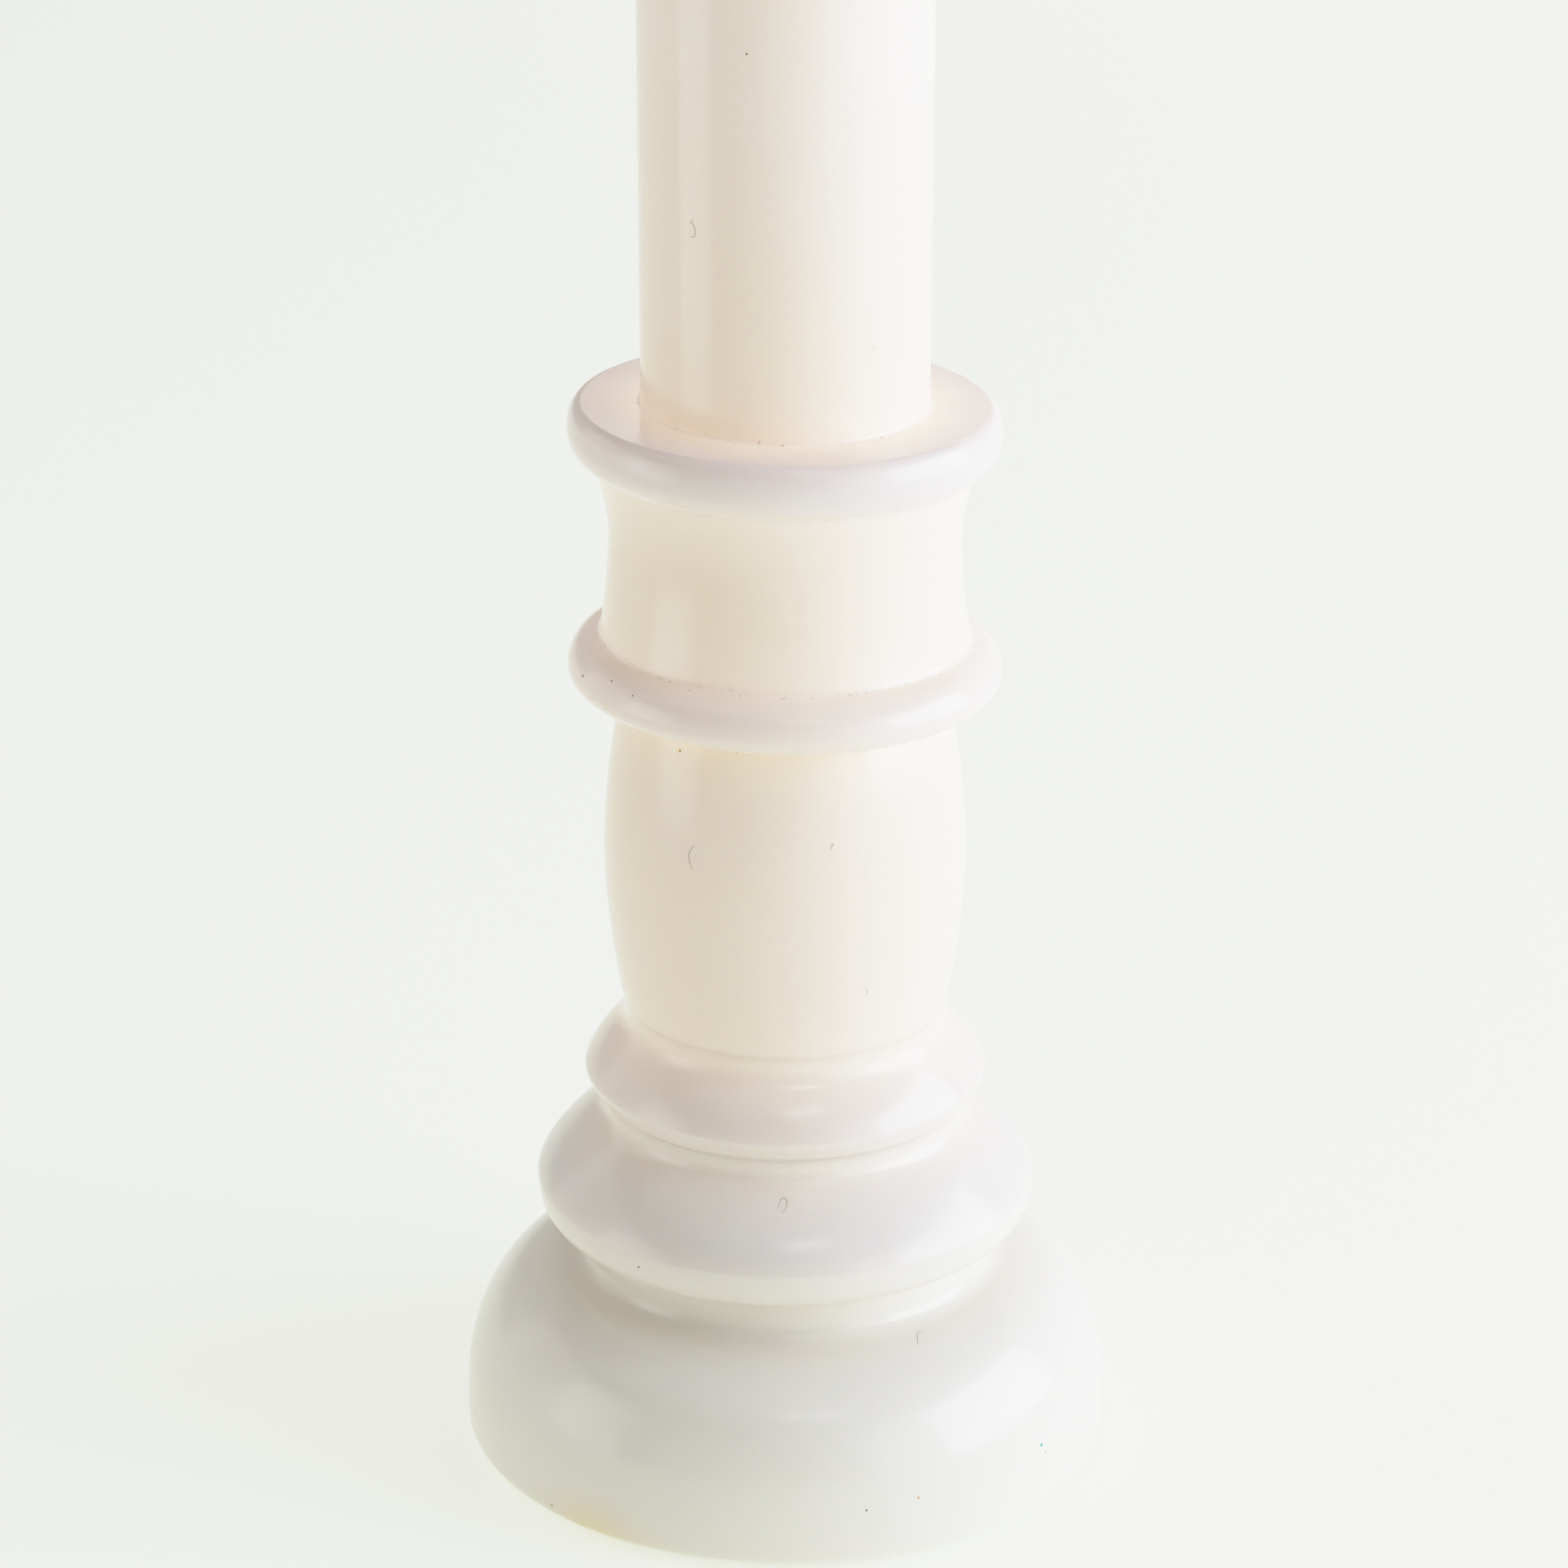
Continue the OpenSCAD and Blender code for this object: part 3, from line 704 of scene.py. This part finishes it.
def tubes(name, paths, thick, material, slot, sides=4):
    # thin threads, finer towards both ends: a ring of points round each point of each path, its two arms
    # square to the path's direction
    ahead = np.gradient(paths, axis=1)
    ahead /= np.linalg.norm(ahead, axis=2, keepdims=True)
    armA = np.cross(ahead, [0.3, 0.2, 0.93])
    armA /= np.linalg.norm(armA, axis=2, keepdims=True)
    armB = np.cross(ahead, armA)
    a = np.linspace(0, 2 * math.pi, sides, endpoint=False)[:, None]
    around = np.cos(a) * armA[:, :, None] + np.sin(a) * armB[:, :, None]
    taper = np.sin(np.linspace(0.25, math.pi - 0.25, paths.shape[1]))[None, :, None, None] ** 0.4
    points = paths[:, :, None] + thick * taper * around
    count, length = paths.shape[:2]
    faces = []
    for k in range(count):
        first = k * length * sides
        last = first + (length - 1) * sides
        faces += gridFaces(length, sides, closeRows=False, first=first)
        faces += [list(range(first + sides - 1, first - 1, -1)), list(range(last, last + sides))]
    return meshFrom(name, points.reshape(-1, 3), faces, material, slot)


def makeFelt():
    # a disc with soft edges that wavers a little in radius, and a fuzz of short curved fibres round its rim
    s = feltShape
    low, high = heights("felt_pad")
    radius = widest("felt_pad")
    outline = np.vstack([
        [(radius * share, low) for share in (0.25, 0.5, 0.75, 0.9)],
        rounded((radius, low), (0, low), (radius, high), s["edge"]),
        rounded((radius, high), (radius, low), (0, high), s["edge"]),
        [(radius * share, high) for share in (0.9, 0.75, 0.5, 0.25)]])
    theta = np.linspace(0, 2 * math.pi, s["stations"], endpoint=False)[None, :]
    rim = outline[:, :1] > 0.95 * radius
    r = outline[:, :1] - rim * s["waver"] * (1 + np.sin(17 * theta) * np.cos(11 * theta + 1))
    spunSolid("green_felt_pad", r, outline[:, 1:], felt, "felt", "felt_pad", stations=s["stations"])
    rng = np.random.default_rng(4)
    start = rng.uniform(0, 2 * math.pi, s["fuzz"])[:, None]
    height = rng.uniform(low + 0.3, high - 0.2, s["fuzz"])[:, None]
    t = np.linspace(0, 1, 5)[None, :]
    sweep = rng.uniform(-1, 1, s["fuzz"])[:, None] * s["fuzzLength"] / radius
    angle = start + sweep * t
    arch = s["fuzzReach"] * np.sin(math.pi * t) * rng.uniform(0.3, 1, s["fuzz"])[:, None]
    reach = radius - s["fuzzRoot"] + arch
    rise = height + rng.uniform(-s["fuzzRise"], s["fuzzRise"], s["fuzz"])[:, None] * t
    rise = np.clip(rise, low + s["fuzzClear"], high)
    paths = np.stack([reach * np.cos(angle), reach * np.sin(angle), rise], -1)
    tubes("felt_fuzz", paths, s["fuzzThick"], felt, "felt", sides=3)


makeFelt()
print("felt ready")

# what was caught in the finish as it dried: bearing round the stick in degrees, positive to the right of the
# front, and height in millimetres; a fibre runs through its points, a speck has its radius as well
caughtFibres = {
    "curl": [(-37, 188.5), (-38.5, 188), (-37, 187.5), (-36.5, 186.5), (-37.5, 186), (-39, 186)],
    "hair": [(-29.5, 101), (-31.5, 99.5), (-30, 97.5)],
    "hook": [(14, 102), (15, 102.5), (14, 101.5)],
    "fork": [(-2, 49), (-0.5, 50), (0.5, 49.5), (-1, 48.5)],
    "straw": [(36, 27.5), (34.5, 27.5), (32.5, 27)],
    "comma": [(34.5, 171.5), (36, 171), (36, 170.5)],
    "nick": [(26, 80), (27, 79), (26.5, 78.5)],
    "lint": [(158, 203), (160.5, 201.5), (163, 202), (164, 200)],
    "thread": [(212, 142), (214.5, 140.5), (213.5, 138.5)],
    "eyelash": [(118, 93), (120.5, 91), (120, 88.5)],
    "wisp": [(-112, 118.5), (-115, 119.5), (-118, 118.5)],
}
caughtSpecks = {
    "brown": [(-14.5, 211.5, 0.15), (-35, 39.5, 0.15), (52.5, 9, 0.15), (14, 9.5, 0.17), (-45, 3, 0.15),
              (84.5, 51, 0.16), (-68, 121.5, 0.2), (-54.5, 123, 0.16), (-44.5, 122.5, 0.15),
              (171, 60, 0.15), (139, 168, 0.15), (-150, 24, 0.18), (-127, 75, 0.15)],
    "amber": [(-38, 113.5, 0.22), (-16.5, 115, 0.17), (23.5, 10, 0.2), (199, 115, 0.2)],
    "teal": [(51.5, 10.5, 0.28)],
}
caught = {"fibreThick": 0.05, "speckRings": 6, "speckSides": 10, "speckFlat": 0.35, "mottle": 0.4,
          "mottleEdges": (0.35, 0.65), "paler": 1.5,
          "fibre": "#9A9086", "brown": "#6E4F30", "amber": "#B98A45", "teal": "#1FA59A"}


def onSurface(bearing, height):
    # the point on the outside at a bearing and a height
    z = np.asarray(height, float)
    r = np.interp(z, wholeSide[:, 1], wholeSide[:, 0])
    return np.stack(handTurned(r, z, np.radians(np.asarray(bearing, float)) - math.pi / 2), -1)


def tintedSpeck(name, code):
    # wool, hair, sawdust and pigment caught in the gloss: matt, mottled in patches as wide as a speck
    material, tree, shader = newMaterial(name, Roughness=0.6)
    place = add(tree, "ShaderNodeTexCoord").outputs["Object"]
    lump = add(tree, "ShaderNodeTexNoise", {"Vector": place, "Scale": 1 / (caught["mottle"] * mm)})
    mottle = add(tree, "ShaderNodeMapRange", {0: lump.outputs["Fac"], 1: caught["mottleEdges"][0],
                                              2: caught["mottleEdges"][1]}).outputs[0]
    pale = tuple(min(1, caught["paler"] * v) for v in hexToLinear(code)[:3]) + (1.0,)
    tone = add(tree, "ShaderNodeMix", {0: mottle, 6: hexToLinear(code), 7: pale}, data_type="RGBA")
    tree.links.new(tone.outputs[2], shader.inputs["Base Color"])
    return material


def makeFibres():
    # a curve through n points: the one polynomial of degree n - 1 in the share of the way along
    material = tintedSpeck("caughtWoolFibre", caught["fibre"])
    t = np.linspace(0, 1, 22)
    paths = []
    for points in caughtFibres.values():
        at = np.linspace(0, 1, len(points))
        bearing, height = (np.polyval(np.polyfit(at, values, len(points) - 1), t) for values in zip(*points))
        paths.append(onSurface(bearing, height))
    tubes("fibres_in_finish", np.array(paths), caught["fibreThick"], material, "cream_lacquer", sides=6)


def makeSpecks(tone, specks):
    # low lumps on the surface: balls of rings from pole to pole, each flattened along the way out
    bearing, height, size = np.array(specks).T
    rings, sides, flat = caught["speckRings"], caught["speckSides"], caught["speckFlat"]
    middle = onSurface(bearing, height)
    out = np.stack([np.sin(np.radians(bearing)), -np.cos(np.radians(bearing)), 0 * bearing], -1)
    side = np.cross([0, 0, 1], out)
    u = np.linspace(0, math.pi, rings + 2)[1:-1, None]
    v = -np.linspace(0, 2 * math.pi, sides, endpoint=False)[None, :]
    local = np.stack([np.sin(u) * np.cos(v), np.sin(u) * np.sin(v), flat * np.cos(u) * np.ones_like(v)], -1)
    axes = np.stack([side, np.broadcast_to([0, 0, 1.0], out.shape), out], 1)
    balls = middle[:, None] + size[:, None, None] * (local.reshape(-1, 3) @ axes)
    poles = middle[:, None] + size[:, None, None] * (np.array([[0, 0, flat], [0, 0, -flat]]) @ axes)
    count = rings * sides
    points, faces = [], []
    j = np.arange(sides)
    nextJ = (j + 1) % sides
    for k in range(len(specks)):
        first = k * (count + 2)
        last = first + count - sides
        outerPole, innerPole = np.full(sides, first + count), np.full(sides, first + count + 1)
        points += [balls[k], poles[k]]
        faces += gridFaces(rings, sides, closeRows=False, first=first)
        faces += np.column_stack([first + nextJ, first + j, outerPole]).tolist()
        faces += np.column_stack([last + j, last + nextJ, innerPole]).tolist()
    material = tintedSpeck(f"{tone}Speck", caught[tone])
    meshFrom(f"{tone}_specks", np.vstack(points), faces, material, "cream_lacquer")


makeFibres()
for tone, specks in caughtSpecks.items():
    makeSpecks(tone, specks)
print("fibres and specks ready")

floor = {"colour": "#EEF3E6", "lit": 0.8, "glow": 0.63, "reach": 6.0}


def makeFloor():
    # a pale backlit sheet: most of its brightness is its own, so that shadows on it stay faint
    material, tree, shader = newMaterial("backlitSheet", Roughness=0.9, Specular_IOR_Level=0.0)
    pale = hexToLinear(floor["colour"])
    shader.inputs["Base Color"].default_value = (*[floor["lit"] * v for v in pale[:3]], 1)
    shader.inputs["Emission Color"].default_value = pale
    shader.inputs["Emission Strength"].default_value = floor["glow"]
    mesh = bpy.data.meshes.new("floor")
    e = floor["reach"]
    mesh.from_pydata([(-e, -e, 0), (e, -e, 0), (e, e, 0), (-e, e, 0)], [], [(0, 1, 2, 3)])
    mesh.materials.append(material)
    sheet = bpy.data.objects.new("floor", mesh)
    bpy.context.scene.collection.objects.link(sheet)


makeFloor()
print("floor ready")

# softboxes, all aimed at one height on the stick: bearing in degrees round it from the camera, positive to the
# right; lengths in metres; reflectedOnly shows in the gloss alone, and diffuseOnly doesn't show in it
aimHeight = 0.12
softboxes = {
    "rightWindow": {"bearing": 82, "height": 0.38, "away": 1.2, "wide": 1.2, "tall": 0.9, "glow": 6.8,
                    "colour": "#E6EEFF"},
    "rightWall": {"bearing": 42, "height": 0.4, "away": 1.2, "wide": 0.45, "tall": 0.8, "glow": 1.2,
                  "colour": "#FFFAF6"},
    "farWall": {"bearing": 150, "height": 0.5, "away": 1.3, "wide": 1.8, "tall": 1.0, "glow": 1.1,
                "colour": "#FFFAF6"},
    "leftWall": {"bearing": -100, "height": 0.4, "away": 1.2, "wide": 1.2, "tall": 0.8, "glow": 0.78,
                 "colour": "#FFF8F4"},
    "frontWall": {"bearing": -25, "height": 0.4, "away": 1.5, "wide": 1.2, "tall": 0.8, "glow": 0.3,
                  "colour": "#FFF8F4"},
    "lowCard": {"bearing": -95, "height": 0.07, "away": 0.42, "wide": 0.4, "tall": 0.14, "glow": 0.35,
                "colour": "#FAFAF4", "diffuseOnly": True},
    "leftWindow": {"bearing": -73, "height": 0.15, "away": 0.5, "wide": 0.26, "tall": 0.3, "glow": 1.5,
                   "colour": "#F6F8FF", "reflectedOnly": True},
    "ceiling": {"bearing": -60, "height": 1.4, "away": 0.5, "wide": 1.4, "tall": 1.2, "glow": 0.75,
                "colour": "#F4F6FF"},
    "farLeft": {"bearing": -145, "height": 0.35, "away": 1.1, "wide": 1.2, "tall": 0.8, "glow": 0.3,
                "colour": "#F4F6FF", "reflectedOnly": True},
    "ceilingLamp": {"bearing": 12, "height": 1.2, "away": 0.9, "wide": 0.5, "tall": 0.05, "glow": 10.0,
                    "colour": "#FFFFFF", "reflectedOnly": True},
}


def makeSoftbox(name, s):
    # a rectangular panel: its power is glow times area times pi, so it is as bright as its glow at any size
    data = bpy.data.lights.new(name, "AREA")
    data.shape = "RECTANGLE"
    data.size = s["wide"]
    data.size_y = s["tall"]
    data.energy = s["glow"] * s["wide"] * s["tall"] * math.pi
    data.color = hexToLinear(s["colour"])[:3]
    lamp = bpy.data.objects.new(name, data)
    bearing = math.radians(s["bearing"])
    lamp.location = (s["away"] * math.sin(bearing), -s["away"] * math.cos(bearing), s["height"])
    aim = np.array([0, 0, aimHeight]) - np.array(lamp.location)
    lamp.rotation_euler = (math.atan2(math.hypot(aim[0], aim[1]), -aim[2]), 0, math.atan2(-aim[0], aim[1]))
    lamp.visible_camera = False
    lamp.visible_diffuse = not s.get("reflectedOnly", False)
    lamp.visible_glossy = not s.get("diffuseOnly", False)
    bpy.context.scene.collection.objects.link(lamp)


for name, s in softboxes.items():
    makeSoftbox(name, s)

room = {"colour": "#F4F6F3", "glow": 0.28}
world = bpy.data.worlds.new("studio")
world.use_nodes = True
world.node_tree.nodes["Background"].inputs["Color"].default_value = hexToLinear(room["colour"])
world.node_tree.nodes["Background"].inputs["Strength"].default_value = room["glow"]
bpy.context.scene.world = world
print("lights ready")

film = {"shoulder": 0.6, "white": 0.97, "brightest": 4.0, "stops": (0.3, 0.6, 0.8, 1.0, 1.25, 1.5, 2.0, 2.7)}


def rollOffHighlights():
    # light is shown as it is up to the shoulder, and past it as white - left * e to the
    # (shoulder - light) / left, where left is white - shoulder
    def shown(light):
        left = film["white"] - film["shoulder"]
        if light < film["shoulder"]:
            return light
        return film["white"] - left * math.exp((film["shoulder"] - light) / left)

    view = bpy.context.scene.view_settings
    view.view_transform = "Standard"
    view.use_curve_mapping = True
    brightest = film["brightest"]
    view.curve_mapping.white_level = (brightest, brightest, brightest)
    curve = view.curve_mapping.curves[3]
    curve.points[1].location = (1, shown(brightest))
    for light in film["stops"]:
        curve.points.new(light / brightest, shown(light))
    view.curve_mapping.update()


rollOffHighlights()

# the camera looks down at the lower part of the stick, from a little over half a metre away
viewpoint = {"away": 0.6196, "height": 0.3508, "aside": -0.0002, "down": 21.93, "lens": 107.5, "sensor": 36,
             "nearest": 0.01}


def makeCamera():
    data = bpy.data.cameras.new("camera")
    data.lens = viewpoint["lens"]
    data.sensor_width = viewpoint["sensor"]
    data.clip_start = viewpoint["nearest"]
    camera = bpy.data.objects.new("camera", data)
    camera.location = (viewpoint["aside"], -viewpoint["away"], viewpoint["height"])
    camera.rotation_euler = (math.radians(90 - viewpoint["down"]), 0, 0)
    bpy.context.scene.collection.objects.link(camera)
    bpy.context.scene.camera = camera


makeCamera()
print("scene ready")
